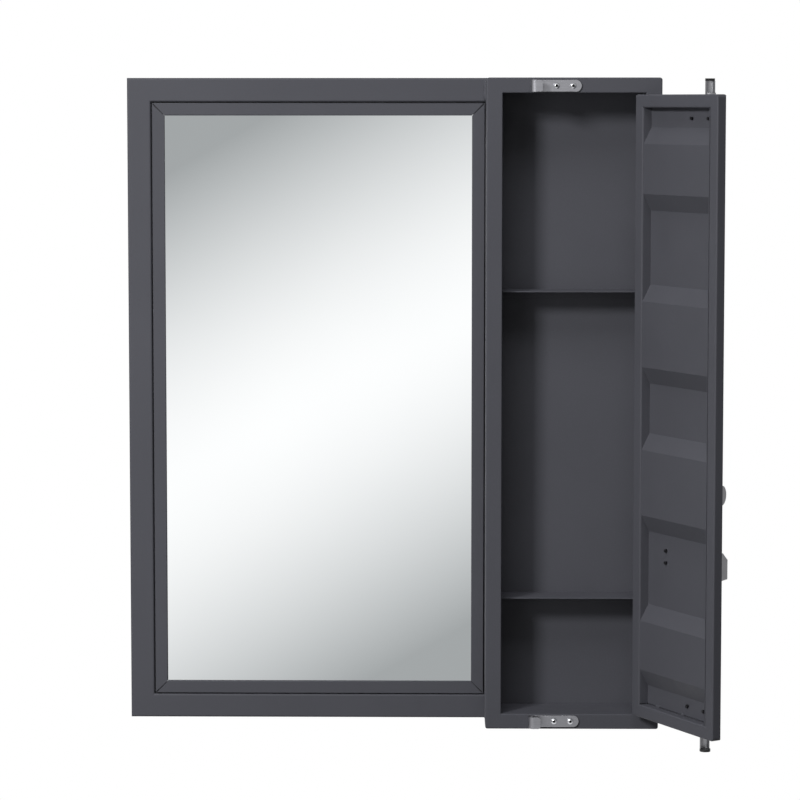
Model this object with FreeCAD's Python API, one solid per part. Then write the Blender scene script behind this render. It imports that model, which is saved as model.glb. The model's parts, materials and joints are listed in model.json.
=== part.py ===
import FreeCAD, Part
import math
import os
from FreeCAD import Vector

# Wall-hung medicine cabinet in powder-coated steel. A framed mirror is on the left. A shallow
# cabinet is on the right, proud of the mirror, with two shelves and a corrugated door that a
# turning lock rod holds shut. Millimetres. +X is to the right, +Y is into the wall and +Z is up.
# The origin is midway between the two hanging keyholes, on the wall plane.

# ---- driving dimensions ----
overall_height = 813.0
mirror_section_width = 450.5
cabinet_width = 216.3
frame_tube = 30.0            # square tube of the rear frame, its full depth from the wall
frame_wall = 1.5
frame_corner = 2.5
cabinet_depth = 63.0         # from the frame's front face to the cabinet's rim
hang_drop = 48.0             # from the top edge down to the keyholes

# moulding around the glass
shadow_gap = 1.2
bead_width = 15.8
bead_depth = 22.0
bead_sheet = 1.5
bead_edge_break = 0.5
mitre_open_outer = 1.1       # cut back from each end of the moulding's face, at the outer corner
mitre_open_inner = 0.4
tape_thickness = 1.0         # black foam between the moulding's face and the glass
tape_setback = 1.5           # from the moulding's inner edge
gasket_setback = 4.0         # from the moulding's face back to the rubber in the shadow gap
glass_thickness = 4.0
backing_thickness = 3.0
glass_clearance = 1.0

# cabinet box
sheet = 1.2
bend_radius = 1.5
side_rim = 20.0
end_rim = 19.0
outline_corner = 3.4
back_sheet = 1.0
shelf_sheet = 1.4             # with a hem of the same thickness along the front
shelf_setback = 20.0
shelf_flange = 12.0
shelf_drops = {"upper_shelf": 265.0, "lower_shelf": 650.5}   # top surface below the cabinet's top

# door
door_clearance = 2.0
hinge_gap = 2.5
door_thickness = 12.8
door_rim = 16.0
door_wall = 1.5
door_corner = 4.0
door_open_angle = 120.0      # how far the door stands open at rest
panel_sheet = 1.0
panel_setback = 1.0          # lands of the pressing, behind the door frame's inner face
pocket_depth = 10.6
pocket_side_run = 1.6
pocket_slope_run = 20.5
centre_pocket = 102.6
long_pocket = 131.9
inner_land = 81.0
outer_land = 61.0

# hinges
barrel_radius = 2.7
pin_radius = 1.25
running_clearance = 0.05
leaf_thickness = 1.0
hinge_length = 60.0
hinge_inset = 100.0          # from the door's end to the hinge's middle

# lock rod
rod_radius = 6.35
rod_wall = 1.2
rod_from_free_edge = 50.0
rod_standoff = 12.5          # from the rim's face to the rod's axis
rod_overrun_top = 19.0       # beyond the door's top
rod_overrun_bottom = 24.0
cap_thickness = 3.0
cap_radius = 6.55
tongue_start = 2.0
tongue_facing = 237.0        # direction of the half-tube's open side when locked, seen from above
rod_turn_at_rest = 62.0
cap_setback = 1.0            # of the top cap's flat behind the half-tube's open side
guide_inset_top = 28.6       # from the door's top to the top guide's middle
guide_inset_bottom = 29.6
guide_half_height = 7.3
guide_foot = 2.0

# screws of the guides and the catch
fitting_screw_radius = 2.0
fitting_screw_length = 5.8
fitting_head_radius = 3.5
fitting_head_height = 2.4

# levers on the rod
lever_thickness = 3.0
lever_half_height = 7.0
lever_reach = 54.6
lever_drop = 565.0           # below the door's top
grip_start = 37.0            # from the rod's axis to the taller grip at the lever's end
grip_fall = 27.0             # from the lever's centre line down to the grip's foot
grip_chamfer = (13.0, 9.8)
tab_reach = 49.2
tab_drop = 486.8
tab_width = 24.6

# catch for the lever
catch_from_hinge_edge = 57.0
catch_sheet = 2.0
catch_reach = 18.0           # from its screws towards the rod
catch_tail = 8.0             # from its screws towards the hinges
catch_rise = 11.5            # from the lever's centre line up to the upper ear
catch_fall = 29.0
catch_ear_tip = 24.0         # from the rim's plane out to the ears' tips
catch_screw_half_pitch = 7.4
eye_radius = 3.0
eye_from_rod = 50.6
eye_out = 18.0               # from the rim's plane out to the padlock eyes

# keepers
keeper_height = 14.6
keeper_sheet = 2.0
keeper_from_side = 54.0
keeper_length = 62.8
keeper_curl_radius = 7.0
keeper_lip_end = 15.1        # from the curl's left edge to the lip's free end
keeper_lip_corner = 4.0
keeper_lift = 3.5            # from the door's end to the keeper
keeper_screw_pitch = 20.4
keeper_screw_from_end = 10.4
keeper_screw_head_radius = 4.0
keeper_screw_head_height = 2.4
keeper_socket_radius = 1.6   # out to the corners of the hexagon
keeper_socket_depth = 1.7

# ---- places worked out from them ----
left = -(mirror_section_width + cabinet_width) / 2
cabinet_left = left + mirror_section_width
right = cabinet_left + cabinet_width
top = hang_drop
bottom = top - overall_height
frame_front = -frame_tube
front = frame_front - cabinet_depth
panel_front = frame_front - back_sheet
opening_left = cabinet_left + side_rim
opening_right = right - side_rim
opening_bottom = bottom + end_rim
opening_top = top - end_rim

door_left = opening_left + door_clearance
door_right = opening_right - hinge_gap
door_bottom = opening_bottom + door_clearance
door_top = opening_top - door_clearance
door_inner = front + door_thickness
hinge_x = opening_right - hinge_gap / 2
hinge_y = front - barrel_radius
rod_x = door_left + rod_from_free_edge
rod_y = front - rod_standoff
pocket_floor_outer = door_inner - panel_setback - pocket_depth - panel_sheet
keeper_left = cabinet_left + keeper_from_side
catch_x = door_right - catch_from_hinge_edge
catch_z = door_top - lever_drop

nodes = {}


# ---- helpers ----
def box(x0, y0, z0, x1, y1, z1):
    return Part.makeBox(x1 - x0, y1 - y0, z1 - z0, Vector(x0, y0, z0))


def cylinder(radius, start, end):
    run = end - start
    return Part.makeCylinder(radius, run.Length, start, run)


def upright(radius, x, y, z0, z1):
    return cylinder(radius, Vector(x, y, z0), Vector(x, y, z1))


def polygon_face(points):
    return Part.Face(Part.makePolygon([Vector(*p) for p in points + [points[0]]]))


def round_edges(shape, radius, along, keep=lambda p: True):
    """Fillet the straight edges that run along a direction and whose middles pass a test."""
    direction = Vector(*along)
    edges = []
    for edge in shape.Edges:
        run = edge.Vertexes[-1].Point - edge.Vertexes[0].Point
        if run.Length > 1e-6 and run.cross(direction).Length < 1e-6:
            if keep((edge.Vertexes[0].Point + edge.Vertexes[-1].Point) * 0.5):
                edges.append(edge)
    return shape.makeFillet(radius, edges)


def near(a, b):
    return abs(a - b) < 1e-6


def rounded_bar(x0, y0, x1, y1, length, radius):
    """A straight bar along +Z with its four long edges rounded."""
    return round_edges(box(x0, y0, 0, x1, y1, length), radius, (0, 0, 1))


def tube_bar(width, depth, wall, corner, length):
    outer = rounded_bar(0, 0, width, depth, length, corner)
    inner = rounded_bar(wall, wall, width - wall, depth - wall, length, max(corner - wall, 0.3))
    return outer.cut(inner)


def channel_bar(width, depth, wall, corner, length):
    """A folded channel, open at the back, with its two front bends rounded."""
    past = 20.0
    outer = rounded_bar(0, 0, width, depth + past, length, corner)
    inner = rounded_bar(wall, wall, width - wall, depth + past - wall, length, corner - wall)
    return outer.cut(inner).common(box(0, 0, 0, width, depth, length))


def mitred(bar, width, length, start_rim, end_rim, open_outer=0.0, open_inner=0.0):
    """Trim a bar's ends along the lines from the outer corner to the inner corner."""
    reach = 60.0
    outline = [(0, -reach, open_outer), (width, -reach, start_rim + open_inner),
               (width, -reach, length - end_rim - open_inner), (0, -reach, length - open_outer)]
    return bar.common(polygon_face(outline).extrude(Vector(0, 2 * reach, 0)))


def place_side(bar, side, x0, x1, z0, z1, y):
    """Lay a bar that runs along +Z, outer edge at X=0, on one side of a rectangle."""
    turn, corner = {"left": (0, (x0, y, z0)), "right": (180, (x1, y, z1)),
                    "top": (90, (x0, y, z1)), "bottom": (-90, (x1, y, z0))}[side]
    placed = bar.copy()
    placed.rotate(Vector(0, 0, 0), Vector(0, 1, 0), turn)
    placed.translate(Vector(*corner))
    return placed


def side_length(side, x0, x1, z0, z1):
    return z1 - z0 if side in ("left", "right") else x1 - x0


def group(shapes):
    return Part.makeCompound(shapes)


def half_space(x, y, facing, setback, z0, z1):
    """The block behind a vertical plane that faces a direction, set back from a point."""
    size = 30.0
    block = box(x - size, y - size, z0, x - setback, y + size, z1)
    block.rotate(Vector(x, y, 0), Vector(0, 0, 1), facing)
    return block


# ---- rear frame ----
def rear_frame():
    for side in ("left", "right", "top", "bottom"):
        length = side_length(side, left, right, bottom, top)
        bar = tube_bar(frame_tube, frame_tube, frame_wall, frame_corner, length)
        bar = mitred(bar, frame_tube, length, frame_tube, frame_tube)
        kind = "stile" if side in ("left", "right") else "rail"
        nodes["frame_%s_%s" % (side, kind)] = place_side(bar, side, left, right, bottom, top, frame_front)
    middle = tube_bar(frame_tube, frame_tube, frame_wall, frame_corner, overall_height - 2 * frame_tube)
    middle.translate(Vector(cabinet_left, frame_front, bottom + frame_tube))
    nodes["frame_middle_stile"] = middle


def corner_plates():
    plate = 48.0
    thickness = 2.0
    entry_radius = 5.0
    slot_radius = 2.5
    slot_rise = 11.0
    inset = 24.0
    hole_radius = 2.75
    inner_top = top - frame_tube
    inner_bottom = bottom + frame_tube
    for name, x0 in (("left", left + frame_tube), ("right", right - frame_tube - plate)):
        hole_x = x0 + inset
        free_x = x0 + plate if name == "left" else x0
        upper = box(x0, -thickness, inner_top - plate, x0 + plate, 0, inner_top)
        upper = round_edges(upper, 4.0, (0, 1, 0), lambda p: near(p.z, inner_top - plate) and near(p.x, free_x))
        entry = cylinder(entry_radius, Vector(hole_x, -thickness - 1, 0), Vector(hole_x, 1, 0))
        rest = cylinder(slot_radius, Vector(hole_x, -thickness - 1, slot_rise), Vector(hole_x, 1, slot_rise))
        slot = box(hole_x - slot_radius, -thickness - 1, 0, hole_x + slot_radius, 1, slot_rise)
        nodes["hanger_plate_" + name] = upper.cut(entry).cut(rest).cut(slot)
        lower = box(x0, -thickness, inner_bottom, x0 + plate, 0, inner_bottom + plate)
        lower = round_edges(lower, 4.0, (0, 1, 0), lambda p: near(p.z, inner_bottom + plate) and near(p.x, free_x))
        hole_z = inner_bottom + inset
        hole = cylinder(hole_radius, Vector(hole_x, -thickness - 1, hole_z), Vector(hole_x, 1, hole_z))
        nodes["fixing_plate_" + name] = lower.cut(hole)


# ---- mirror ----
bead_x0 = left + frame_tube + shadow_gap
bead_x1 = cabinet_left - shadow_gap
bead_z0 = bottom + frame_tube + shadow_gap
bead_z1 = top - frame_tube - shadow_gap
glass_front = frame_front + bead_sheet + tape_thickness
backing_rear = glass_front + glass_thickness + backing_thickness


def bead_section():
    """Folded moulding: an outer leg and a face with its edges broken."""
    s = bead_sheet
    e = bead_edge_break
    return polygon_face([(0, e, 0), (e, 0, 0), (bead_width - e, 0, 0), (bead_width, e, 0),
                         (bead_width, s, 0), (s, s, 0), (s, bead_depth, 0), (0, bead_depth, 0)])


def mirror():
    for side in ("left", "right", "top", "bottom"):
        length = side_length(side, bead_x0, bead_x1, bead_z0, bead_z1)
        bar = bead_section().extrude(Vector(0, 0, length))
        closed = mitred(bar, bead_width, length, bead_width, bead_width)
        leg = closed.common(box(0, bead_sheet, 0, bead_width, bead_depth, length))
        face = mitred(bar, bead_width, length, bead_width, bead_width, mitre_open_outer, mitre_open_inner)
        bar = face.fuse(leg).removeSplitter()
        nodes["bead_" + side] = place_side(bar, side, bead_x0, bead_x1, bead_z0, bead_z1, frame_front)
    inset = bead_sheet + glass_clearance
    x0 = bead_x0 + inset
    x1 = bead_x1 - inset
    z0 = bead_z0 + inset
    z1 = bead_z1 - inset
    glass_back = glass_front + glass_thickness
    nodes["mirror_glass"] = box(x0, glass_front, z0, x1, glass_back, z1)
    nodes["mirror_backing"] = box(x0, glass_back, z0, x1, backing_rear, z1)
    covered = bead_width - tape_setback
    tape = box(bead_x0 + bead_sheet, frame_front + bead_sheet, bead_z0 + bead_sheet,
               bead_x1 - bead_sheet, glass_front, bead_z1 - bead_sheet)
    nodes["glazing_tape"] = tape.cut(box(bead_x0 + covered, frame_front, bead_z0 + covered,
                                         bead_x1 - covered, 0, bead_z1 - covered))


def clip_places():
    """Each clip's side of the moulding and its distance along it."""
    width = bead_x1 - bead_x0
    height = bead_z1 - bead_z0
    upright_places = [(side, height * part) for side in ("left", "right") for part in (0.12, 0.5, 0.88)]
    level_places = [(side, width * part) for side in ("top", "bottom") for part in (0.25, 0.75)]
    return upright_places + level_places


def mirror_fixings():
    clip_sheet = 1.5
    clip_width = 16.0
    foot = 12.0
    leg = 6.0
    screw_radius = 1.5
    seat = backing_rear - frame_front
    clips = []
    screws = []
    for side, along in clip_places():
        z0 = along - clip_width / 2
        z1 = along + clip_width / 2
        clip = box(bead_sheet, seat, z0, bead_sheet + clip_sheet, seat + leg, z1)
        clip = clip.fuse(box(bead_sheet, seat, z0, bead_sheet + foot, seat + clip_sheet, z1)).removeSplitter()
        screw_v = seat + clip_sheet + (leg - clip_sheet) / 2
        shank = cylinder(screw_radius, Vector(0, screw_v, along), Vector(bead_sheet + clip_sheet, screw_v, along))
        clip = clip.cut(shank)
        head_start = bead_sheet + clip_sheet
        head = cylinder(2.0, Vector(head_start, screw_v, along), Vector(head_start + 1.6, screw_v, along))
        args = (side, bead_x0, bead_x1, bead_z0, bead_z1, frame_front)
        clips.append(place_side(clip, *args))
        screws.append(place_side(shank.fuse(head).removeSplitter(), *args))
        name = "bead_" + side
        nodes[name] = nodes[name].cut(place_side(shank, *args))
    nodes["backing_clips"] = group(clips)
    nodes["clip_screws"] = group(screws)
    gasket = box(bead_x0 - shadow_gap, frame_front + gasket_setback, bead_z0 - shadow_gap,
                 bead_x1 + shadow_gap, frame_front + bead_depth, bead_z1 + shadow_gap)
    nodes["bead_gasket"] = gasket.cut(box(bead_x0, frame_front, bead_z0, bead_x1, 0, bead_z1))


# ---- cabinet box ----
def cabinet_box():
    depth = panel_front - front
    rims = {"left": side_rim, "right": side_rim, "top": end_rim, "bottom": end_rim}
    outline = box(cabinet_left, front - 1, bottom, right, panel_front, top)
    outline = round_edges(outline, outline_corner, (0, 1, 0))
    for side, rim in rims.items():
        length = side_length(side, cabinet_left, right, bottom, top)
        other = end_rim if side in ("left", "right") else side_rim
        bar = mitred(channel_bar(rim, depth, sheet, bend_radius, length), rim, length, other, other)
        wall = place_side(bar, side, cabinet_left, right, bottom, top, front)
        nodes["cabinet_%s_wall" % side] = wall.common(outline)
    panel = box(cabinet_left, panel_front, bottom, right, frame_front, top)
    nodes["cabinet_back_panel"] = panel


def shelves():
    side_gap = 0.3
    x0 = opening_left + side_gap
    x1 = opening_right - side_gap
    y0 = front + shelf_setback
    for name, drop in shelf_drops.items():
        z1 = top - drop
        plate = box(x0, y0, z1 - shelf_sheet, x1, panel_front, z1)
        hem_z = z1 - shelf_sheet / 2
        hem = cylinder(shelf_sheet / 2, Vector(x0, y0, hem_z), Vector(x1, y0, hem_z))
        flange = box(x0, panel_front - sheet, z1 - shelf_flange, x1, panel_front, z1)
        nodes[name] = plate.fuse(hem).fuse(flange).removeSplitter()


# ---- keepers ----
def button_screw(x, z, y, length, radius=2.0):
    """A round-head screw with a hexagon socket, along +Y, its head seated at y."""
    a = keeper_screw_head_radius
    h = keeper_screw_head_height
    sphere_radius = (a ** 2 + h ** 2) / (2 * h)
    half_angle = math.asin(a / sphere_radius) / 2
    crown = Vector(x, y - h, z)
    shoulder = Vector(x + sphere_radius * math.sin(half_angle), y, z)
    shoulder.y += sphere_radius * (1 - math.cos(half_angle)) - h
    rim = Vector(x + a, y, z)
    seat = Vector(x, y, z)
    outline = Part.Wire([Part.Arc(crown, shoulder, rim).toShape(), Part.makeLine(rim, seat),
                         Part.makeLine(seat, crown)])
    head = Part.Face(outline).revolve(seat, Vector(0, 1, 0), 360)
    reach = keeper_socket_radius
    socket = [(x + reach * math.cos(math.radians(60 * k)), y - h - 1,
               z + reach * math.sin(math.radians(60 * k))) for k in range(6)]
    head = head.cut(polygon_face(socket).extrude(Vector(0, keeper_socket_depth + 1, 0)))
    return head.fuse(cylinder(radius, Vector(x, y, z), Vector(x, y + length, z))).removeSplitter()


def keeper(z0):
    """A strap on the rim whose left end curls forward and back over itself into a hook."""
    z1 = z0 + keeper_height
    r = keeper_curl_radius
    centre_x = keeper_left + r
    centre_y = front - r
    lip_x = keeper_left + keeper_lip_end
    round_x = keeper_left + keeper_length - keeper_height / 2
    strap = box(centre_x, front - keeper_sheet, z0, round_x, front, z1)
    end = cylinder(keeper_height / 2, Vector(round_x, front - keeper_sheet, z0 + keeper_height / 2),
                   Vector(round_x, front, z0 + keeper_height / 2))
    ring = upright(r, centre_x, centre_y, z0, z1).cut(upright(r - keeper_sheet, centre_x, centre_y, z0, z1))
    ring = ring.common(box(keeper_left - 1, front - 2 * r - 1, z0, centre_x, front + 1, z1))
    lip = box(centre_x, front - 2 * r, z0, lip_x, front - 2 * r + keeper_sheet, z1)
    lip = round_edges(lip, keeper_lip_corner, (0, 1, 0), lambda p: near(p.x, lip_x))
    return strap.fuse([end, ring, lip]).removeSplitter()


def keepers():
    screws = []
    screw_x = keeper_left + keeper_length - keeper_screw_from_end
    places = {"keeper_top": (door_top + keeper_lift, "cabinet_top_wall"),
              "keeper_bottom": (door_bottom - keeper_lift - keeper_height, "cabinet_bottom_wall")}
    for name, (z0, wall) in places.items():
        hook = keeper(z0)
        middle = z0 + keeper_height / 2
        for x in (screw_x, screw_x - keeper_screw_pitch):
            screw = button_screw(x, middle, front - keeper_sheet, 8.0)
            hole = cylinder(2.05, Vector(x, front - keeper_sheet, middle), Vector(x, front + sheet, middle))
            hook = hook.cut(hole)
            nodes[wall] = nodes[wall].cut(hole)
            screws.append(screw)
        nodes[name] = hook
    nodes["keeper_screws"] = group(screws)


# ---- hinges, drawn with the door shut ----
def flush_screw(surface_x, y, z, direction, length):
    """A countersunk screw along X, flush with a surface that it enters in the given direction."""
    start = Vector(surface_x, y, z)
    along = Vector(direction, 0, 0)
    cone = Part.makeCone(2.2, 1.2, leaf_thickness, start, along)
    shank = Part.makeCylinder(1.2, length, start, along)
    return cone.fuse(shank).removeSplitter()


def hinge(name, middle):
    """A three-knuckle butt hinge. The outer knuckles are on the cabinet, the middle one on the door."""
    knuckle_gap = 0.4
    half = hinge_length / 2
    third = hinge_length / 3
    frame_leaf_depth = 16.0
    door_leaf_depth = 11.3
    bore = pin_radius + running_clearance
    inner_face = hinge_gap / 2 - leaf_thickness
    z_knuckles = [middle - half, middle - third / 2, middle + third / 2, middle + half]

    def leaf(x0, x1, depth, spans):
        plate = box(x0, front + 0.4, middle - half, x1, front + depth, middle + half)
        for z0, z1 in spans:
            neck = box(x0, hinge_y, z0, x1, front + 1.0, z1)
            plate = plate.fuse(neck).fuse(upright(barrel_radius, hinge_x, hinge_y, z0, z1))
        return plate.removeSplitter().cut(upright(bore, hinge_x, hinge_y, middle - half - 1, middle + half + 1))

    outer_spans = [(z_knuckles[0], z_knuckles[1] - knuckle_gap / 2),
                   (z_knuckles[2] + knuckle_gap / 2, z_knuckles[3])]
    inner_spans = [(z_knuckles[1] + knuckle_gap / 2, z_knuckles[2] - knuckle_gap / 2)]
    frame_leaf = leaf(hinge_x + inner_face, opening_right, frame_leaf_depth, outer_spans)
    door_leaf = leaf(door_right, hinge_x - inner_face, door_leaf_depth, inner_spans)
    head_height = 0.8
    pin = upright(pin_radius, hinge_x, hinge_y, middle - half - head_height, middle + half + head_height)
    for z0 in (middle - half - head_height, middle + half):
        pin = pin.fuse(upright(2.1, hinge_x, hinge_y, z0, z0 + head_height))
    frame_screws = []
    door_screws = []
    for z in (middle - 22, middle, middle + 22):
        screw = flush_screw(hinge_x + inner_face, front + 9.0, z, 1, 9.0)
        frame_leaf = frame_leaf.cut(screw)
        nodes["cabinet_right_wall"] = nodes["cabinet_right_wall"].cut(screw)
        frame_screws.append(screw)
        screw = flush_screw(hinge_x - inner_face, front + 6.4, z, -1, 6.0)
        door_leaf = door_leaf.cut(screw)
        nodes["door_hinge_stile"] = nodes["door_hinge_stile"].cut(screw)
        door_screws.append(screw)
    nodes["hinge_frame_leaf_" + name] = frame_leaf
    nodes["hinge_door_leaf_" + name] = door_leaf
    return pin.removeSplitter(), frame_screws, door_screws


def hinges():
    pins = []
    frame_screws = []
    door_screws = []
    for name, middle in (("upper", door_top - hinge_inset), ("lower", door_bottom + hinge_inset)):
        pin, on_frame, on_door = hinge(name, middle)
        pins.append(pin)
        frame_screws += on_frame
        door_screws += on_door
    nodes["hinge_pins"] = group(pins)
    nodes["hinge_frame_screws"] = group(frame_screws)
    nodes["hinge_door_screws"] = group(door_screws)


# ---- door, drawn shut ----
def door_frame():
    outline = box(door_left, front, door_bottom, door_right, door_inner, door_top)
    outline = round_edges(outline, door_corner, (0, 1, 0))
    names = {"left": "door_free_stile", "right": "door_hinge_stile",
             "top": "door_top_rail", "bottom": "door_bottom_rail"}
    for side, name in names.items():
        length = side_length(side, door_left, door_right, door_bottom, door_top)
        bar = mitred(tube_bar(door_rim, door_thickness, door_wall, 1.8, length), door_rim, length,
                     door_rim, door_rim)
        bar = place_side(bar, side, door_left, door_right, door_bottom, door_top, front)
        nodes[name] = bar.common(outline)


def pocket_block(span, low_z, high_z, y0, y1, offset):
    """A pocket of the pressing between two depths, grown outward by an offset on its slopes."""
    x0, x1 = span
    side_rate = pocket_side_run / pocket_depth
    slope_rate = pocket_slope_run / pocket_depth
    mouth_y = door_inner - panel_setback

    def ring(y):
        depth = mouth_y - y
        side = depth * side_rate - offset * math.hypot(1, side_rate)
        end = depth * slope_rate - offset * math.hypot(1, slope_rate)
        return [Vector(x0 + side, y, low_z + end), Vector(x1 - side, y, low_z + end),
                Vector(x1 - side, y, high_z - end), Vector(x0 + side, y, high_z - end)]

    mouth = ring(y0)
    floor = ring(y1)
    faces = [Part.Face(Part.makePolygon(mouth + mouth[:1])), Part.Face(Part.makePolygon(floor + floor[:1]))]
    for k in range(4):
        n = (k + 1) % 4
        faces.append(Part.Face(Part.makePolygon([mouth[k], mouth[n], floor[n], floor[k], mouth[k]])))
    solid = Part.makeSolid(Part.makeShell(faces))
    if solid.Volume < 0:
        solid.reverse()
    return solid


def door_panel():
    """Pressed sheet: three whole pockets and two that run out at the panel's ends."""
    free_gap = 1.2
    end_gap = 1.2
    edge_strip = 1.0
    middle = (door_top + door_bottom) / 2
    x0 = door_left + door_rim + free_gap
    x1 = door_right - door_rim
    z0 = door_bottom + door_rim + end_gap
    z1 = door_top - door_rim
    span = (x0 + edge_strip, x1 - edge_strip)
    mouths = [(middle - centre_pocket / 2, middle + centre_pocket / 2)]
    long_start = centre_pocket / 2 + inner_land
    long_end = long_start + long_pocket
    mouths += [(middle + long_start, middle + long_end), (middle - long_end, middle - long_start)]
    end_mouth = long_end + outer_land
    past = 80.0
    mouths += [(middle + end_mouth, z1 + past), (z0 - past, middle - end_mouth)]
    land_y = door_inner - panel_setback
    panel = box(x0, land_y - panel_sheet, z0, x1, land_y, z1)
    floor_y = land_y - pocket_depth
    for low, high in mouths:
        panel = panel.fuse(pocket_block(span, low, high, land_y - 0.5, floor_y - panel_sheet, panel_sheet))
    for low, high in mouths:
        panel = panel.cut(pocket_block(span, low, high, land_y + 1.0, floor_y, 0.0))
    panel = panel.common(box(x0, floor_y - panel_sheet, z0, x1, land_y, z1)).removeSplitter()
    nodes["door_panel"] = panel


def rod_guide(middle):
    """A saddle block on the outside of an end pocket, bored for the rod."""
    foot_half = 23.0
    body_radius = 8.5
    z0 = middle - guide_half_height
    z1 = middle + guide_half_height
    foot = box(rod_x - foot_half, pocket_floor_outer - guide_foot, z0, rod_x + foot_half,
               pocket_floor_outer, z1)
    foot = round_edges(foot, 3.0, (0, 1, 0))
    body = box(rod_x - body_radius, rod_y, z0, rod_x + body_radius, pocket_floor_outer - 0.5, z1)
    body = body.fuse(upright(body_radius, rod_x, rod_y, z0, z1))
    guide = foot.fuse(body).removeSplitter()
    return guide.cut(upright(rod_radius + running_clearance, rod_x, rod_y, z0 - 1, z1 + 1))


def pan_screw(x, z, y):
    """A pan-head screw along +Y, its head seated at y. Its tip stands inside the door."""
    head = cylinder(fitting_head_radius, Vector(x, y - fitting_head_height, z), Vector(x, y, z))
    rim = [e for e in head.Edges
           if near(e.BoundBox.YMax, y - fitting_head_height) and near(e.BoundBox.YMin, e.BoundBox.YMax)]
    head = head.makeFillet(fitting_head_height * 0.45, rim)
    shank = cylinder(fitting_screw_radius, Vector(x, y, z), Vector(x, y + fitting_screw_length, z))
    return head.fuse(shank).removeSplitter()


def door_fittings():
    guide_screw_half_pitch = 17.0
    seat_y = pocket_floor_outer - guide_foot
    screws = []
    for name, middle in (("rod_guide_top", door_top - guide_inset_top),
                         ("rod_guide_bottom", door_bottom + guide_inset_bottom)):
        guide = rod_guide(middle)
        for x in (rod_x - guide_screw_half_pitch, rod_x + guide_screw_half_pitch):
            hole = cylinder(fitting_screw_radius, Vector(x, seat_y - 1, middle), Vector(x, seat_y + 6, middle))
            guide = guide.cut(hole)
            nodes["door_panel"] = nodes["door_panel"].cut(hole)
            screws.append(pan_screw(x, middle, seat_y))
        nodes[name] = guide
    nodes["guide_screws"] = group(screws)


def handle_catch():
    """A U bracket whose two ears stand above and below the lever's grip, with padlock eyes."""
    seat_y = pocket_floor_outer - catch_sheet
    tip_y = front - catch_ear_tip
    x0 = catch_x - catch_reach
    x1 = catch_x + catch_tail
    low = catch_z - catch_fall - catch_sheet
    high = catch_z + catch_rise
    bracket = box(x0, seat_y, low, x1, pocket_floor_outer, high + catch_sheet)
    for z0 in (low, high):
        ear = box(x0, tip_y, z0, x1, seat_y + 0.5, z0 + catch_sheet)
        bracket = bracket.fuse(round_edges(ear, 7.0, (0, 0, 1), lambda p: near(p.y, tip_y)))
    eye = upright(eye_radius, rod_x + eye_from_rod, front - eye_out, low - 1, high + catch_sheet + 1)
    bracket = bracket.removeSplitter().cut(eye)
    screws = []
    for z in (catch_z - catch_screw_half_pitch, catch_z + catch_screw_half_pitch):
        hole = cylinder(fitting_screw_radius, Vector(catch_x, seat_y - 1, z), Vector(catch_x, seat_y + 6, z))
        bracket = bracket.cut(hole)
        nodes["door_panel"] = nodes["door_panel"].cut(hole)
        screws.append(pan_screw(catch_x, z, seat_y))
    nodes["handle_catch"] = bracket
    nodes["catch_screws"] = group(screws)


# ---- lock rod, drawn with the door shut and the rod locked ----
def lock_rod():
    full_z0 = door_bottom - tongue_start
    full_z1 = door_top + tongue_start
    end_z0 = door_bottom - rod_overrun_bottom + cap_thickness
    end_z1 = door_top + rod_overrun_top - cap_thickness
    tube = upright(rod_radius, rod_x, rod_y, end_z0, end_z1)
    tube = tube.cut(upright(rod_radius - rod_wall, rod_x, rod_y, end_z0, end_z1))
    for z0, z1 in ((end_z0, full_z0), (full_z1, end_z1)):
        tube = tube.cut(half_space(rod_x, rod_y, tongue_facing + 180.0, 0.0, z0, z1))
    nodes["lock_rod_tube"] = tube
    cap = upright(cap_radius, rod_x, rod_y, end_z1, end_z1 + cap_thickness)
    flat = half_space(rod_x, rod_y, tongue_facing, cap_setback, end_z1, end_z1 + cap_thickness)
    nodes["rod_cap_top"] = cap.common(flat)
    nodes["rod_cap_bottom"] = upright(cap_radius, rod_x, rod_y, end_z0 - cap_thickness, end_z0)


def rod_levers():
    """The handle and the finger tab. Both point at the hinges when the rod is locked."""
    hub_radius = 9.5
    hub_overlap = 2.0
    cross_pin_radius = 1.6
    half = lever_thickness / 2
    pins = []
    run, rise = grip_chamfer
    h = lever_half_height
    outline = [(0, -h), (grip_start, -h), (grip_start, -grip_fall), (lever_reach, -grip_fall),
               (lever_reach, h - rise), (lever_reach - run, h), (0, h)]
    plate = polygon_face([(rod_x + r, rod_y - half, catch_z + z) for r, z in outline])
    plate = plate.extrude(Vector(0, lever_thickness, 0))
    plate = round_edges(plate, 2.5, (0, 1, 0), lambda p: p.x > rod_x + grip_start - 1)
    lever_hub = (catch_z - h - hub_overlap, catch_z + h + hub_overlap)
    tab_z = door_top - tab_drop
    tab_round = tab_width / 2
    tab_end = rod_x + tab_reach - tab_round
    tab = box(rod_x, rod_y - half, tab_z - tab_round, tab_end, rod_y + half, tab_z + tab_round)
    tab = tab.fuse(cylinder(tab_round, Vector(tab_end, rod_y - half, tab_z), Vector(tab_end, rod_y + half, tab_z)))
    tab_hub = (tab_z - tab_round, tab_z + tab_round)
    for name, blade, (z0, z1) in (("handle_lever", plate, lever_hub), ("finger_tab", tab, tab_hub)):
        middle = (z0 + z1) / 2
        hub = upright(hub_radius, rod_x, rod_y, z0, z1)
        pin = cylinder(cross_pin_radius, Vector(rod_x, rod_y - hub_radius - 0.8, middle),
                       Vector(rod_x, rod_y + hub_radius + 0.8, middle))
        piece = hub.fuse(blade).removeSplitter().cut(upright(rod_radius, rod_x, rod_y, z0 - 20, z1 + 20))
        nodes[name] = piece.cut(pin)
        nodes["lock_rod_tube"] = nodes["lock_rod_tube"].cut(pin)
        pins.append(pin)
    nodes["rod_pins"] = group(pins)


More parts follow.
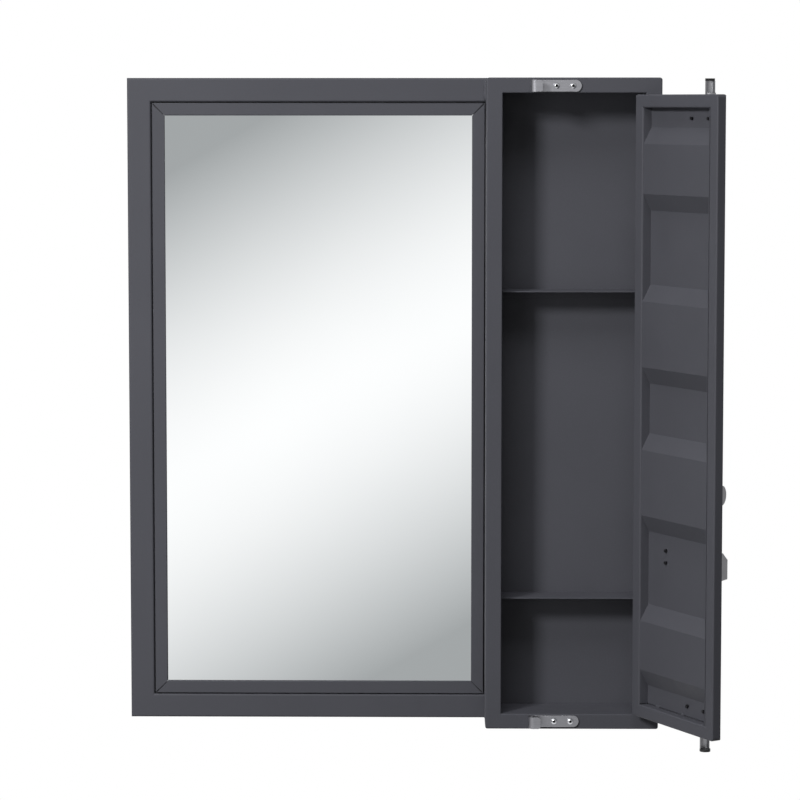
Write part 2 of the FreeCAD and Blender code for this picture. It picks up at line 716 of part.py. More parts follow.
def rod_collars():
    """Rings that keep the rod from sliding: one under the top guide, one over the bottom guide."""
    collar_radius = 9.0
    collar_height = 6.0
    play = 0.4
    top_z = door_top - guide_inset_top - guide_half_height - play
    low_z = door_bottom + guide_inset_bottom + guide_half_height + play
    rings = []
    for z0 in (top_z - collar_height, low_z):
        ring = upright(collar_radius, rod_x, rod_y, z0, z0 + collar_height)
        rings.append(ring.cut(upright(rod_radius, rod_x, rod_y, z0, z0 + collar_height)))
    nodes["rod_collars"] = group(rings)


rod_nodes = ["lock_rod_tube", "rod_cap_top", "rod_cap_bottom", "handle_lever", "finger_tab",
             "rod_pins", "rod_collars"]
door_nodes = ["door_hinge_stile", "door_free_stile", "door_top_rail", "door_bottom_rail",
              "door_panel", "hinge_door_leaf_upper", "hinge_door_leaf_lower", "hinge_door_screws",
              "rod_guide_top", "rod_guide_bottom", "guide_screws", "handle_catch", "catch_screws"]


def move_to_rest():
    """Turn the rod out of its keepers, and swing the door with its rod open."""
    up = Vector(0, 0, 1)
    for name in rod_nodes:
        nodes[name].rotate(Vector(rod_x, rod_y, 0), up, -rod_turn_at_rest)
    for name in rod_nodes + door_nodes:
        nodes[name].rotate(Vector(hinge_x, hinge_y, 0), up, door_open_angle)


rear_frame()
corner_plates()
mirror()
mirror_fixings()
cabinet_box()
shelves()
keepers()
door_frame()
door_panel()
hinges()
door_fittings()
handle_catch()
lock_rod()
rod_levers()
rod_collars()
move_to_rest()

os.makedirs("parts", exist_ok=True)
for node_name, node_shape in nodes.items():
    node_shape.exportStep("parts/%s.step" % node_name)
print(len(nodes), "nodes")
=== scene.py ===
import json
import math

import bmesh
import bpy
from mathutils import Matrix, Vector, noise

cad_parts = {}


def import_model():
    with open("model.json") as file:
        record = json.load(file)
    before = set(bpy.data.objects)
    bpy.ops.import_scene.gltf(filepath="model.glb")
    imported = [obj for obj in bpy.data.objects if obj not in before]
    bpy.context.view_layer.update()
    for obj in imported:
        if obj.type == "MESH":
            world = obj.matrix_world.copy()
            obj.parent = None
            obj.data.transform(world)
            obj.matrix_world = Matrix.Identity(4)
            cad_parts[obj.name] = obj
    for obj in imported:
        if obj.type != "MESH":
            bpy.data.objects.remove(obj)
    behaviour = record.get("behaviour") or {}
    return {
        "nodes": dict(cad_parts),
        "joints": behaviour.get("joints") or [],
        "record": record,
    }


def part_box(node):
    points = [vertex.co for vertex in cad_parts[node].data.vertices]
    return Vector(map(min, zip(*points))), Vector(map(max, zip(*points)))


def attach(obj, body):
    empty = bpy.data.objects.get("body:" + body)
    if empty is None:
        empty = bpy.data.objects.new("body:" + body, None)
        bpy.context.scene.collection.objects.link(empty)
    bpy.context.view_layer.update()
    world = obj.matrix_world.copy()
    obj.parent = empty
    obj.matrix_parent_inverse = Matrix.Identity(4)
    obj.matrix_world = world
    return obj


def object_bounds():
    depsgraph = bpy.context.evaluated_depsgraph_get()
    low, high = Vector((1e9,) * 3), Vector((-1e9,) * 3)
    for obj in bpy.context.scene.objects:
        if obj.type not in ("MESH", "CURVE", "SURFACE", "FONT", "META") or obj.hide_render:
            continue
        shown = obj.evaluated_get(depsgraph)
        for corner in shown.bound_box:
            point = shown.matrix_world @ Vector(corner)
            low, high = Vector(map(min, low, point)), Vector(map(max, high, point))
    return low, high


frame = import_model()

CAD_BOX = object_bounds()
scene = bpy.context.scene
nodes_by_name = frame["nodes"]
joints = {j["name"]: j for j in frame["joints"]}


# ---------------------------------------------------------------- material helpers
class Material:
    """A material's node tree with short calls for the nodes used here."""

    def __init__(self, name):
        self.material = bpy.data.materials.new(name)
        self.material.use_nodes = True
        self.tree = self.material.node_tree
        self.tree.nodes.clear()
        self.out = self.add("ShaderNodeOutputMaterial")
        self.shader = self.add("ShaderNodeBsdfPrincipled")
        self.link(self.shader.outputs["BSDF"], self.out.inputs["Surface"])
        self.coords = self.add("ShaderNodeTexCoord").outputs["Object"]

    def add(self, kind, **settings):
        node = self.tree.nodes.new(kind)
        for key, value in settings.items():
            setattr(node, key, value)
        return node

    def link(self, source, target):
        self.tree.links.new(source, target)

    def stretched(self, scale):
        node = self.add("ShaderNodeMapping")
        node.inputs["Scale"].default_value = scale
        self.link(self.coords, node.inputs["Vector"])
        return node.outputs["Vector"]

    def noise(self, scale, detail=4.0, roughness=0.55, vector=None):
        node = self.add("ShaderNodeTexNoise")
        node.inputs["Scale"].default_value = scale
        node.inputs["Detail"].default_value = detail
        node.inputs["Roughness"].default_value = roughness
        self.link(vector or self.coords, node.inputs["Vector"])
        return node.outputs["Fac"]

    def remap(self, value, low, high, from_low=0.3, from_high=0.7):
        node = self.add("ShaderNodeMapRange")
        node.inputs["From Min"].default_value = from_low
        node.inputs["From Max"].default_value = from_high
        node.inputs["To Min"].default_value = low
        node.inputs["To Max"].default_value = high
        self.link(value, node.inputs["Value"])
        return node.outputs["Result"]

    def mix(self, factor, colour_a, colour_b):
        node = self.add("ShaderNodeMix", data_type="RGBA")
        for index, colour in ((6, colour_a), (7, colour_b)):
            if isinstance(colour, tuple):
                node.inputs[index].default_value = colour + (1.0,)
            else:
                self.link(colour, node.inputs[index])
        self.link(factor, node.inputs[0])
        return node.outputs[2]

    def maths(self, operation, a, b):
        node = self.add("ShaderNodeMath", operation=operation)
        for index, value in ((0, a), (1, b)):
            if isinstance(value, (int, float)):
                node.inputs[index].default_value = value
            else:
                self.link(value, node.inputs[index])
        return node.outputs[0]

    def bump(self, height, distance, strength=1.0, normal=None):
        node = self.add("ShaderNodeBump")
        node.inputs["Strength"].default_value = strength
        node.inputs["Distance"].default_value = distance
        self.link(height, node.inputs["Height"])
        if normal is not None:
            self.link(normal, node.inputs["Normal"])
        return node.outputs["Normal"]

    def set(self, **values):
        for key, value in values.items():
            socket = self.shader.inputs[key.replace("_", " ")]
            if isinstance(value, (int, float, tuple)):
                socket.default_value = value
            else:
                self.link(value, socket)


def shade(colour, factor):
    return tuple(c * factor for c in colour)


# ---------------------------------------------------------------- materials
GUNMETAL = (0.062, 0.063, 0.074)
SCREW_HEAD = 0.004           # radius of the keeper screws' heads
SOCKET_SHADE_EDGE = (0.0015, 0.0020)   # radii between which the painted shade in their sockets ends


def powder_coat(name="powder_coat", colour=GUNMETAL):
    """Baked powder over steel: orange peel, a fine fleck and a faint drift in tone."""
    m = Material(name)
    drift = m.noise(5.0, 3.0)
    cloud = m.noise(38.0, 5.0, 0.6)
    fleck = m.noise(1500.0, 2.0, 0.7)
    tone = m.mix(m.remap(drift, 0.0, 1.0), shade(colour, 0.95), shade(colour, 1.06))
    tone = m.mix(m.remap(cloud, 0.0, 0.30), tone, shade(colour, 1.12))
    tone = m.mix(m.remap(fleck, 0.0, 0.5, 0.55, 0.75), tone, shade(colour, 1.55))
    peel = m.bump(m.noise(420.0, 2.0, 0.5), 0.00006, 0.55)
    grain = m.bump(fleck, 0.00002, 0.5, peel)
    m.set(Base_Color=tone, Roughness=m.remap(cloud, 0.50, 0.62), Normal=grain,
          IOR=1.45, Metallic=0.0, Specular_IOR_Level=0.28)
    return m.material


def satin_steel(name="satin_steel", along=(40.0, 40.0, 1.0), colour=(0.42, 0.42, 0.44), gloss=0.30):
    """Steel brushed along one axis, with soft stains."""
    m = Material(name)
    lines = m.noise(55.0, 6.0, 0.7, m.stretched(along))
    stain = m.noise(90.0, 3.0)
    tone = m.mix(m.remap(lines, 0.0, 1.0), shade(colour, 0.86), shade(colour, 1.14))
    tone = m.mix(m.remap(stain, 0.0, 0.35), tone, shade(colour, 0.78))
    rough = m.maths("ADD", m.remap(lines, gloss - 0.05, gloss + 0.08), m.remap(stain, -0.02, 0.05))
    m.set(Base_Color=tone, Roughness=rough, Metallic=1.0, Normal=m.bump(lines, 0.00002, 0.6),
          Anisotropic=0.4)
    return m.material


def zinc_steel(name="zinc_steel", sockets=()):
    """Bright zinc plate with a fine crystal mottling, with painted shade down in any sockets."""
    m = Material(name)
    crystals = m.add("ShaderNodeTexVoronoi")
    crystals.inputs["Scale"].default_value = 1100.0
    m.link(m.coords, crystals.inputs["Vector"])
    haze = m.noise(260.0, 3.0)
    tone = m.mix(m.remap(crystals.outputs["Distance"], 0.0, 1.0, 0.0, 0.8),
                 (0.80, 0.81, 0.84), (0.66, 0.67, 0.70))
    flat = m.stretched((1.0, 0.0, 1.0))
    for x, z in sockets:
        offset = m.add("ShaderNodeVectorMath", operation="SUBTRACT")
        offset.inputs[1].default_value = (x, 0.0, z)
        m.link(flat, offset.inputs[0])
        radius = m.add("ShaderNodeVectorMath", operation="LENGTH")
        m.link(offset.outputs[0], radius.inputs[0])
        # painted shade: each socket is darkened almost to black, standing in for the shade in its hollow
        tone = m.mix(m.remap(radius.outputs["Value"], 0.0, 1.0, *SOCKET_SHADE_EDGE), (0.02, 0.02, 0.021), tone)
    m.set(Base_Color=tone, Roughness=m.remap(haze, 0.26, 0.38), Metallic=1.0,
          Normal=m.bump(haze, 0.00003, 0.4))
    return m.material


def black_oxide_steel():
    """Blackened screws: dark, slightly oily, worn a little lighter in spots."""
    m = Material("black_oxide_steel")
    wear = m.noise(600.0, 4.0, 0.6)
    tone = m.mix(m.remap(wear, 0.0, 1.0, 0.45, 0.75), (0.022, 0.022, 0.025), (0.075, 0.075, 0.082))
    m.set(Base_Color=tone, Roughness=m.remap(wear, 0.34, 0.5), Metallic=0.85,
          Normal=m.bump(wear, 0.00003, 0.4))
    return m.material


def mirror_silver():
    """Silvered glass: clear and sharp, with a cool cast and a sparse film of dust."""
    m = Material("mirror")
    drift = m.noise(2.5, 3.0, 0.6)
    dust = m.noise(900.0, 2.0, 0.5)
    tone = m.mix(m.remap(drift, 0.0, 1.0), (0.905, 0.918, 0.922), (0.925, 0.936, 0.938))
    m.set(Base_Color=tone, Roughness=m.remap(dust, 0.0, 0.09, 0.74, 0.80), Metallic=1.0)
    return m.material


def hardboard():
    """Pressed fibre board: brown, with short dark and pale fibres."""
    m = Material("backing_board")
    fibres = m.noise(150.0, 8.0, 0.75, m.stretched((1.0, 1.0, 0.35)))
    flakes = m.noise(700.0, 3.0, 0.6)
    tone = m.mix(m.remap(fibres, 0.0, 1.0), (0.145, 0.083, 0.043), (0.26, 0.165, 0.095))
    tone = m.mix(m.remap(flakes, 0.0, 0.6, 0.5, 0.75), tone, (0.07, 0.04, 0.022))
    m.set(Base_Color=tone, Roughness=m.remap(fibres, 0.68, 0.85), Normal=m.bump(fibres, 0.0002, 0.5))
    return m.material


def moulded_black(name, gloss):
    """Black moulded polymer or rubber with a fine spark-eroded grain."""
    m = Material(name)
    grain = m.noise(1800.0, 3.0, 0.6)
    drift = m.noise(120.0, 3.0)
    tone = m.mix(m.remap(drift, 0.0, 1.0), (0.010, 0.010, 0.011), (0.017, 0.017, 0.018))
    m.set(Base_Color=tone, Roughness=m.remap(grain, gloss - 0.06, gloss + 0.10),
          Normal=m.bump(grain, 0.00004, 0.6))
    return m.material


def assign(material, *names):
    for name in names:
        for slot in nodes_by_name[name].material_slots:
            slot.material = material


def keeper_screw_sockets():
    """The X and Z of the four screws' axes."""
    low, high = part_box("keeper_screws")
    return [(x, z) for x in (low.x + SCREW_HEAD, high.x - SCREW_HEAD)
            for z in (low.z + SCREW_HEAD, high.z - SCREW_HEAD)]


def assign_materials():
    """Gives every node its slot's material and returns the powder coat."""
    by_slot = {
        "powder_coat": powder_coat(),
        "powder_coat_hardware": powder_coat("powder_coat_hardware", shade(GUNMETAL, 0.85)),
        "satin_steel": satin_steel(),
        "zinc_steel": zinc_steel(),
        "black_oxide_steel": black_oxide_steel(),
        "mirror": mirror_silver(),
        "backing_board": hardboard(),
        "rubber_packer": moulded_black("rubber_packer", 0.75),
        "cap_plastic": moulded_black("cap_plastic", 0.38),
    }
    for part in frame["record"]["subparts"]:
        assign(by_slot[part["material_slot"]], part["node"])
    assign(satin_steel("satin_steel_keeper", (1.0, 40.0, 40.0), (0.36, 0.36, 0.385), 0.34),
           "keeper_top", "keeper_bottom")
    assign(zinc_steel("zinc_steel_keeper_screws", keeper_screw_sockets()), "keeper_screws")
    return by_slot["powder_coat"]


# ---------------------------------------------------------------- softened edges
class EdgeNodes:
    """A geometry node group with short calls for the nodes used here."""

    def __init__(self, name):
        self.group = bpy.data.node_groups.new(name, "GeometryNodeTree")
        for way in ("INPUT", "OUTPUT"):
            self.group.interface.new_socket("Geometry", in_out=way, socket_type="NodeSocketGeometry")

    def add(self, kind, **settings):
        node = self.group.nodes.new(kind)
        for key, value in settings.items():
            setattr(node, key, value)
        return node

    def link(self, source, target):
        self.group.links.new(source, target)

    def joined(self, kind, first, second, **settings):
        node = self.add(kind, **settings)
        self.link(first, node.inputs[0])
        self.link(second, node.inputs[1])
        return node.outputs

    def above(self, value, limit):
        node = self.add("FunctionNodeCompare", operation="GREATER_THAN")
        self.link(value, node.inputs["A"])
        node.inputs["B"].default_value = limit
        return node.outputs[0]

    def logic(self, operation, first, second):
        return self.joined("FunctionNodeBooleanMath", first, second, operation=operation)[0]

    def slanting(self, ends):
        """True for edges that run both in X and in Z, as those along a mitre do."""
        run = self.joined("ShaderNodeVectorMath", ends["Position 1"], ends["Position 2"],
                          operation="SUBTRACT")
        parts = self.add("ShaderNodeSeparateXYZ")
        self.link(run[0], parts.inputs[0])
        product = self.joined("ShaderNodeMath", parts.outputs["X"], parts.outputs["Z"], operation="MULTIPLY")
        size = self.add("ShaderNodeMath", operation="ABSOLUTE")
        self.link(product[0], size.inputs[0])
        return self.above(size.outputs[0], 1e-6)


MERGE_DISTANCE = 2e-6        # between the imported faces' corners
CRISP_BEND = 30.0            # degrees, above which an edge without a bevel is drawn sharp
CUT_EDGE_BEND = 88.0         # a sheet's cut edges bend by more than this, its folds by less


def edge_picker(name, bend, shortest, rule):
    """Joins the imported faces, marks long bends for the bevel and keeps the other ones crisp."""
    g = EdgeNodes(name)
    start = g.add("NodeGroupInput")
    merge = g.add("GeometryNodeMergeByDistance")
    merge.inputs["Distance"].default_value = MERGE_DISTANCE
    g.link(start.outputs[0], merge.inputs["Geometry"])
    clean = g.add("GeometryNodeRemoveAttribute")
    clean.inputs["Name"].default_value = "custom_normal"
    g.link(merge.outputs[0], clean.inputs[0])

    angle = g.add("GeometryNodeInputMeshEdgeAngle").outputs["Unsigned Angle"]
    ends = g.add("GeometryNodeInputMeshEdgeVertices").outputs
    length = g.joined("ShaderNodeVectorMath", ends["Position 1"], ends["Position 2"], operation="DISTANCE")
    bent = g.above(angle, math.radians(bend))
    bevelled = g.logic("AND", bent, g.above(length["Value"], shortest))
    if rule == "folds":
        bevelled = g.logic("NIMPLY", bevelled, g.above(angle, math.radians(CUT_EDGE_BEND)))
    if rule == "not mitres":
        bevelled = g.logic("NIMPLY", bevelled, g.slanting(ends))

    mark = g.add("GeometryNodeStoreNamedAttribute", domain="EDGE", data_type="FLOAT")
    mark.inputs["Name"].default_value = "bevel_weight_edge"
    mark.inputs["Value"].default_value = 1.0
    g.link(clean.outputs[0], mark.inputs["Geometry"])
    g.link(bevelled, mark.inputs["Selection"])
    smooth = g.add("GeometryNodeSetShadeSmooth", domain="FACE")
    g.link(mark.outputs[0], smooth.inputs["Geometry"])
    crisp = g.add("GeometryNodeSetShadeSmooth", domain="EDGE")
    g.link(smooth.outputs[0], crisp.inputs["Geometry"])
    sharp = g.logic("NIMPLY", g.above(angle, math.radians(CRISP_BEND)), bevelled)
    soft = g.add("FunctionNodeBooleanMath", operation="NOT")
    g.link(sharp, soft.inputs[0])
    g.link(soft.outputs[0], crisp.inputs["Shade Smooth"])
    g.link(crisp.outputs[0], g.add("NodeGroupOutput").inputs[0])
    return g.group


SOFT_EDGES = (  # nodes, least bend in degrees, shortest edge and bevel width in metres, which edges
    (("door_panel",), 14.0, 0.004, 0.0016, "folds"),
    (("keeper_top", "keeper_bottom"), 50.0, 0.004, 0.0005, "all"),
    (("bead_left", "bead_right", "bead_top", "bead_bottom"), 30.0, 0.004, 0.0005, "not mitres"),
    (("handle_lever", "finger_tab", "handle_catch", "rod_guide_top", "rod_guide_bottom",
      "hanger_plate_left", "hanger_plate_right", "fixing_plate_left", "fixing_plate_right"),
     50.0, 0.004, 0.0004, "all"),
    (("upper_shelf", "lower_shelf", "mirror_backing"), 50.0, 0.004, 0.0003, "all"),
)


def even_normals(obj):
    """Keeps large flat faces evenly shaded right up to their edges."""
    even = obj.modifiers.new("even_normals", "WEIGHTED_NORMAL")
    even.mode = "FACE_AREA"
    even.weight = 100
    even.keep_sharp = True


def soften_edges():
    for names, bend, shortest, width, rule in SOFT_EDGES:
        picker = edge_picker("edges_" + names[0], bend, shortest, rule)
        for name in names:
            obj = nodes_by_name[name]
            obj.modifiers.new("edge_picker", "NODES").node_group = picker
            bevel = obj.modifiers.new("bevel", "BEVEL")
            bevel.width = width
            bevel.segments = 3
            bevel.limit_method = "WEIGHT"
            bevel.harden_normals = rule != "folds"
            if rule == "folds":
                even_normals(obj)


# ---------------------------------------------------------------- weld beads
# Places on the door are those of the shut door, in metres.
PANEL_GAP_Z = -0.7274        # the slit between the pressing's lower end and the door's bottom rail
PANEL_OUTSIDE_Y = -0.0927    # outer face of the pressing's end pockets
PANEL_INSIDE_Y = -0.0918
SEAM_X = (0.1560, 0.2944)
TACKS = ((0.2707, 0.009), (0.2176, 0.006), (0.1647, 0.003))   # the middle's X and the length
LAND_OUTSIDE_Y = -0.0822     # outer face of the pressing's flat lands
FREE_GAP_X = 0.1557          # the slit between the pressing and the door's free stile
LAND_SPANS = ((0.0473, 0.1363), (0.2602, 0.3292))   # of the lands' welds, from the door's middle
SEAM_SIZE = (0.0042, 0.0008)   # width and height of each kind of bead
TACK_SIZE = (0.0036, 0.0009)
LAND_SIZE = (0.0030, 0.0010)
RAIL_SIZE = (0.0072, 0.0024)
RAIL_STANDOFF = 0.0004       # of the rail's weld from its corner
RAIL_END = 0.0015            # from the rail's edges to the weld's ends
BEAD_STEP = 0.0004           # between the rings of points along a bead
RIPPLE_PITCH = 0.0016
ARC_STEPS = 8                # across a bead's rounded top


def bead_rings(start, run, across, outward, width, height):
    """Arcs of points along a bead: rippled, slightly uneven and tapered at both ends."""
    length = run.length
    steps = max(int(length / BEAD_STEP), 12)
    for step in range(steps + 1):
        share = step / steps
        ripple = abs(math.sin(math.pi * share * length / RIPPLE_PITCH)) ** 0.6
        swell = 1.0 + 0.16 * noise.noise(Vector((share * length * 260.0, 3.7, length * 90.0)))
        taper = min(1.0, math.sqrt(min(share, 1.0 - share) * length / (width * 0.5) + 0.02))
        ring = []
        for k in range(ARC_STEPS + 1):
            turn = math.pi * k / ARC_STEPS
            reach = math.cos(turn) * width / 2 * swell * taper
            rise = math.sin(turn) * height * swell * taper * (0.78 + 0.22 * ripple)
            ring.append(start + run * share + across * reach + outward * rise)
        yield ring


def weld_bead(name, body, start, end, outward, size, coat):
    """A painted-over weld between two points, riding a body."""
    run = end - start
    mesh = bmesh.new()
    rows = [[mesh.verts.new(point) for point in ring]
            for ring in bead_rings(start, run, run.normalized().cross(outward), outward, *size)]
    for first, second in zip(rows, rows[1:]):
        for k in range(ARC_STEPS + 1):
            n = (k + 1) % (ARC_STEPS + 1)
            mesh.faces.new((first[k], first[n], second[n], second[k]))
    mesh.faces.new(rows[0][::-1])
    mesh.faces.new(rows[-1])
    bmesh.ops.recalc_face_normals(mesh, faces=mesh.faces)
    data = bpy.data.meshes.new(name)
    mesh.to_mesh(data)
    mesh.free()
    data.shade_smooth()
    data.materials.append(coat)
    obj = bpy.data.objects.new(name, data)
    scene.collection.objects.link(obj)
    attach(obj, body)


def door_turn():
    """Carries a point of the shut door to where it stands at rest."""
    hinge = joints["door_swing"]
    pivot = Vector(hinge["pos_m"])
    swing = Matrix.Rotation(-math.radians(hinge["range_deg"][0]), 4, "Z")
    return Matrix.Translation(pivot) @ swing @ Matrix.Translation(-pivot)


def door_weld(name, start, end, outward, size, coat):
    """A weld on the door, placed as if the door were shut."""
    turn = door_turn()
    outward = turn.to_3x3() @ Vector(outward)
    weld_bead(name, "door", turn @ Vector(start), turn @ Vector(end), outward, size, coat)


def panel_welds(coat):
    """A seam outside that closes the gap below the pressing, and three tacks inside it."""
    seam_ends = [(x, PANEL_OUTSIDE_Y, PANEL_GAP_Z) for x in SEAM_X]
    door_weld("weld_panel_seam", *seam_ends, (0.0, -1.0, 0.0), SEAM_SIZE, coat)
    for number, (x, length) in enumerate(TACKS, 1):
        ends = [(x + side * length / 2, PANEL_INSIDE_Y, PANEL_GAP_Z) for side in (-1, 1)]
        door_weld("weld_panel_tack_%d" % number, *ends, (0.0, 1.0, 0.0), TACK_SIZE, coat)


def land_welds(coat):
    """Fillets outside that join the pressing's four lands to the door's free stile."""
    middle = joints["door_swing"]["pos_m"][2]
    for row, span in enumerate(LAND_SPANS, 1):
        for place, sign in (("upper", 1.0), ("lower", -1.0)):
            ends = [(FREE_GAP_X, LAND_OUTSIDE_Y, middle + sign * reach) for reach in span]
            door_weld("weld_land_%s_%d" % (place, row), *ends, (0.0, -1.0, 0.0), LAND_SIZE, coat)


def rail_weld(coat):
    """The fillet where the frame's top rail meets the cabinet's left wall."""
    wall_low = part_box("cabinet_left_wall")[0]
    rail_low, rail_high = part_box("frame_top_rail")
    corner = Vector((wall_low.x - RAIL_STANDOFF, rail_low.y - RAIL_STANDOFF, 0.0))
    top = corner + Vector((0.0, 0.0, rail_high.z - RAIL_END))
    foot = corner + Vector((0.0, 0.0, rail_low.z + RAIL_END))
    weld_bead("weld_top_rail", "cabinet", top, foot, Vector((-1.0, -1.0, 0.0)).normalized(), RAIL_SIZE, coat)


# ---------------------------------------------------------------- camera, light and setting
VIEW_LENS = 125.5            # mm on a 36 mm sensor
VIEW_SHIFT = -0.1
VIEW_DISTANCE = 3.445        # in front of the cabinet's rim
VIEW_DROP = 0.030            # below the cabinet's top
VIEW_RIGHT = 0.055           # of the object's middle
VIEW_PITCH = 4.455
VIEW_YAW = 0.741

MIRROR_ROOM = 0.85           # brightness of the room as each kind of surface sees it
SATIN_ROOM = 0.40
DIFFUSE_ROOM = 0.0
GLOW_DIRECTION = (-0.40, -0.85, 0.34)
GLOW_FALL = 4.0              # how fast the glow fades away from its direction
GLOW_LEVEL = 0.6


def camera():
    data = bpy.data.cameras.new("camera")
    obj = bpy.data.objects.new("camera", data)
    scene.collection.objects.link(obj)
    rim_low, rim_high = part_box("cabinet_left_wall")
    data.lens = VIEW_LENS
    data.shift_y = VIEW_SHIFT
    data.clip_end = 50.0
    obj.location = (VIEW_RIGHT, rim_low.y - VIEW_DISTANCE, rim_high.z - VIEW_DROP)
    obj.rotation_euler = (math.radians(90.0 - VIEW_PITCH), 0.0, math.radians(VIEW_YAW))
    scene.camera = obj
    return obj


def area_light(name, azimuth, elevation, distance, size, power, target, glossy=True):
    """A soft box that faces the target. Azimuth 0 is in front and grows towards the right."""
    data = bpy.data.lights.new(name, "AREA")
    data.shape = "RECTANGLE"
    data.size, data.size_y = size
    data.energy = power
    obj = bpy.data.objects.new(name, data)
    scene.collection.objects.link(obj)
    a = math.radians(azimuth)
    e = math.radians(elevation)
    towards = Vector((math.sin(a) * math.cos(e), -math.cos(a) * math.cos(e), math.sin(e)))
    obj.location = target + towards * distance
    obj.rotation_mode = "QUATERNION"
    obj.rotation_quaternion = towards.to_track_quat("Z", "Y")
    obj.visible_glossy = glossy
    obj.visible_camera = False


def world():
    """White to the lens, pale to the mirror, and for satin surfaces one wide glow from the upper left."""
    w = bpy.data.worlds.new("studio")
    scene.world = w
    w.use_nodes = True
    tree = w.node_tree
    tree.nodes.clear()
    path = tree.nodes.new("ShaderNodeLightPath")

    def maths(operation, first, second):
        node = tree.nodes.new("ShaderNodeMath")
        node.operation = operation
        node.use_clamp = operation == "MULTIPLY_ADD"
        tree.links.new(first, node.inputs[0])
        node.inputs[1].default_value = second
        return node

    def backdrop(strength):
        node = tree.nodes.new("ShaderNodeBackground")
        node.inputs["Color"].default_value = (1.0, 1.0, 1.0, 1.0)
        if isinstance(strength, float):
            node.inputs["Strength"].default_value = strength
        else:
            tree.links.new(strength, node.inputs["Strength"])
        return node.outputs[0]

    def choose(ray, otherwise, chosen):
        node = tree.nodes.new("ShaderNodeMixShader")
        tree.links.new(path.outputs[ray], node.inputs[0])
        tree.links.new(otherwise, node.inputs[1])
        tree.links.new(chosen, node.inputs[2])
        return node.outputs[0]

    towards = tree.nodes.new("ShaderNodeVectorMath")
    towards.operation = "DOT_PRODUCT"
    towards.inputs[1].default_value = GLOW_DIRECTION
    tree.links.new(tree.nodes.new("ShaderNodeTexCoord").outputs["Generated"], towards.inputs[0])
    near = maths("MULTIPLY_ADD", towards.outputs["Value"], 0.8)
    near.inputs[2].default_value = 0.2
    glow = maths("POWER", near.outputs[0], GLOW_FALL)
    glow = maths("MULTIPLY", glow.outputs[0], GLOW_LEVEL)
    glow = maths("ADD", glow.outputs[0], SATIN_ROOM)
    seen = choose("Is Glossy Ray", backdrop(DIFFUSE_ROOM), backdrop(glow.outputs[0]))
    seen = choose("Is Singular Ray", seen, backdrop(MIRROR_ROOM))
    seen = choose("Is Camera Ray", seen, backdrop(1.0))
    out = tree.nodes.new("ShaderNodeOutputWorld")
    tree.links.new(seen, out.inputs["Surface"])


FLOOR_RADIUS = 1.1
FLOOR_FADE = (0.55, 1.05)    # distances from its middle between which the floor turns clear
FLOOR_DROP = 0.42            # below the object


def floor():
    """A pale round floor below the object that fades into the white room."""
    bpy.ops.mesh.primitive_circle_add(vertices=96, radius=FLOOR_RADIUS, fill_type="NGON",
                                      location=(0.0, 0.0, CAD_BOX[0].z - FLOOR_DROP))
    obj = bpy.context.object
    obj.name = "studio_floor"
    m = Material("studio_floor")
    m.set(Base_Color=(0.9, 0.9, 0.9, 1.0), Roughness=0.9)
    glow = m.add("ShaderNodeEmission")
    glow.inputs["Strength"].default_value = 0.9
    pale = m.add("ShaderNodeMixShader")
    pale.inputs[0].default_value = 0.75
    m.link(m.shader.outputs[0], pale.inputs[1])
    m.link(glow.outputs[0], pale.inputs[2])
    clear = m.add("ShaderNodeBsdfTransparent")
    fade = m.add("ShaderNodeMixShader")
    length = m.add("ShaderNodeVectorMath", operation="LENGTH")
    m.link(m.coords, length.inputs[0])
    m.link(m.remap(length.outputs["Value"], 0.0, 1.0, *FLOOR_FADE), fade.inputs[0])
    m.link(pale.outputs[0], fade.inputs[1])
    m.link(clear.outputs[0], fade.inputs[2])
    m.link(fade.outputs[0], m.out.inputs["Surface"])
    obj.data.materials.append(m.material)
    obj.visible_diffuse = False


CARD_DISTANCE = 1.5          # of the reflected card from the mirror
CARD_MARGIN = 1.6            # the card's size over what the mirror shows, its border fading out
CARD_BORDER = 0.66           # where the fade starts, as a share of the card's half size
BAND_TILT = 29.5             # degrees, how far the bright band rises towards the right
BAND_REACH = 0.313           # metres on the mirror over which the band falls by BAND_FALL
BAND_FALL = 0.285
BAND_CURVE = 1.75
BAND_LEAST = 0.665           # level of the dull corners
BAND_CONTRAST = 2.3
BAND_STRENGTH = 1.07
COOL_WHITE = (0.94, 0.985, 1.0)


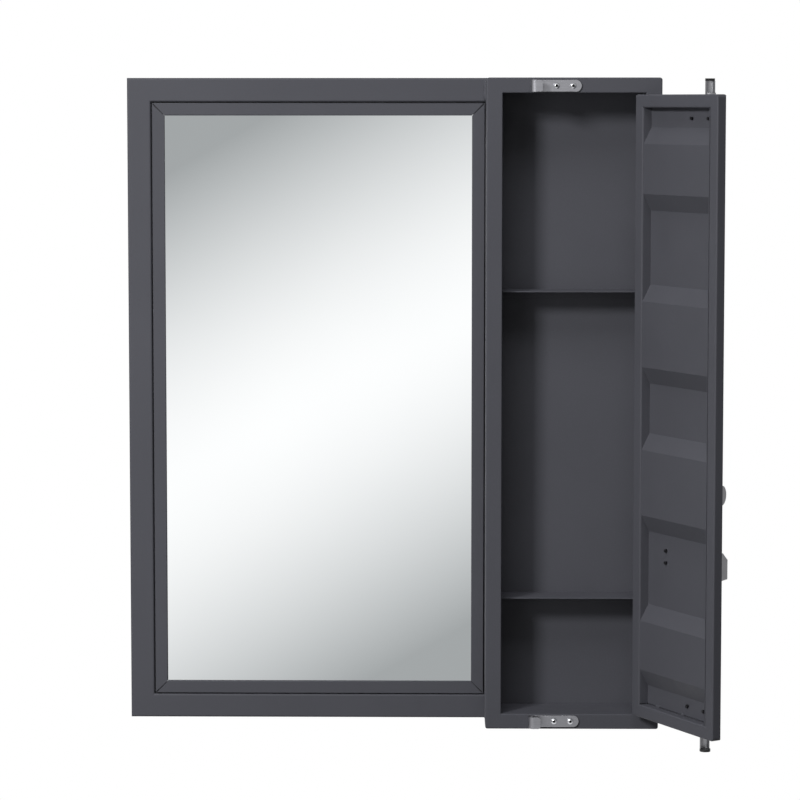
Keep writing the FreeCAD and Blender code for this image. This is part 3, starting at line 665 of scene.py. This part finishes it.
def card_material(wide, spread):
    """A bright diagonal band that dulls and cools away from its middle, clear at the card's border."""
    m = Material("reflection_card")
    tilt = math.radians(BAND_TILT)
    across = m.add("ShaderNodeVectorMath", operation="DOT_PRODUCT")
    across.inputs[1].default_value = (-math.sin(tilt) * wide.x, math.cos(tilt) * wide.z, 0.0)
    m.link(m.coords, across.inputs[0])
    distance = m.maths("ABSOLUTE", across.outputs["Value"], 0.0)
    reach = m.maths("DIVIDE", distance, BAND_REACH * spread)
    fall = m.maths("MULTIPLY", m.maths("POWER", reach, BAND_CURVE), BAND_FALL)
    level = m.maths("MAXIMUM", m.maths("SUBTRACT", 1.0, fall), BAND_LEAST)
    glow = m.add("ShaderNodeEmission")
    m.link(m.mix(m.remap(level, 0.0, 1.0, 0.62, 1.0), COOL_WHITE, (1.0, 1.0, 1.0)), glow.inputs["Color"])
    m.link(m.maths("MULTIPLY", m.maths("POWER", level, BAND_CONTRAST), BAND_STRENGTH),
           glow.inputs["Strength"])
    sides = m.add("ShaderNodeSeparateXYZ")
    m.link(m.coords, sides.inputs[0])
    border = m.maths("MAXIMUM", m.maths("ABSOLUTE", sides.outputs["X"], 0.0),
                     m.maths("ABSOLUTE", sides.outputs["Y"], 0.0))
    clear = m.add("ShaderNodeBsdfTransparent")
    fade = m.add("ShaderNodeMixShader")
    m.link(m.remap(border, 0.0, 1.0, CARD_BORDER, 1.0), fade.inputs[0])
    m.link(glow.outputs[0], fade.inputs[1])
    m.link(clear.outputs[0], fade.inputs[2])
    m.link(fade.outputs[0], m.out.inputs["Surface"])
    return m.material


def reflection_card(view):
    """A graded card in front of the mirror, seen only in reflections."""
    low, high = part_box("mirror_glass")
    spread = 1.0 + CARD_DISTANCE / (low.y - view.location.y)
    eye = Vector((view.location.x, 0.0, view.location.z))
    corners = [eye + (Vector((x, 0.0, z)) - eye) * spread for x, z in ((low.x, low.z), (high.x, high.z))]
    middle = (corners[0] + corners[1]) / 2
    wide = (corners[1] - corners[0]) / 2 * CARD_MARGIN
    bpy.ops.mesh.primitive_plane_add(size=2.0, location=(middle.x, low.y - CARD_DISTANCE, middle.z),
                                     rotation=(math.radians(90.0), 0.0, 0.0))
    obj = bpy.context.object
    obj.name = "reflection_card"
    obj.scale = (wide.x, wide.z, 1.0)
    obj.data.materials.append(card_material(wide, spread))
    obj.visible_camera = False
    obj.visible_diffuse = False
    obj.visible_shadow = False


BODY_MIDDLE_Y = -0.06        # roughly half the cabinet's depth


def lights():
    """A high soft key from the left, a box overhead, two faint fills, one light right and one behind."""
    low, high = CAD_BOX
    middle = Vector((0.0, BODY_MIDDLE_Y, (low.z + high.z) / 2))
    glass_low, glass_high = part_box("mirror_glass")
    glass = (glass_low + glass_high) / 2
    area_light("key", -37.0, 28.0, 3.6, (0.65, 0.65), 101.0, middle)
    area_light("overhead_front", 0.0, 60.0, 3.6, (1.6, 1.2), 58.0, middle, glossy=False)
    area_light("front_fill", 3.0, 2.0, 3.9, (1.6, 1.6), 3.0, middle, glossy=False)
    area_light("frame_fill", -25.0, 0.0, 1.0, (0.5, 0.9), 2.3, glass, glossy=False)
    area_light("right_side", 105.0, 15.0, 3.2, (1.4, 1.4), 44.0, middle, glossy=False)
    area_light("back", 178.0, 22.0, 3.0, (1.8, 1.6), 110.0, middle, glossy=False)


# ---------------------------------------------------------------- build
coat = assign_materials()
soften_edges()
panel_welds(coat)
land_welds(coat)
rail_weld(coat)
view = camera()
world()
floor()
reflection_card(view)
lights()
scene.view_settings.view_transform = "Standard"
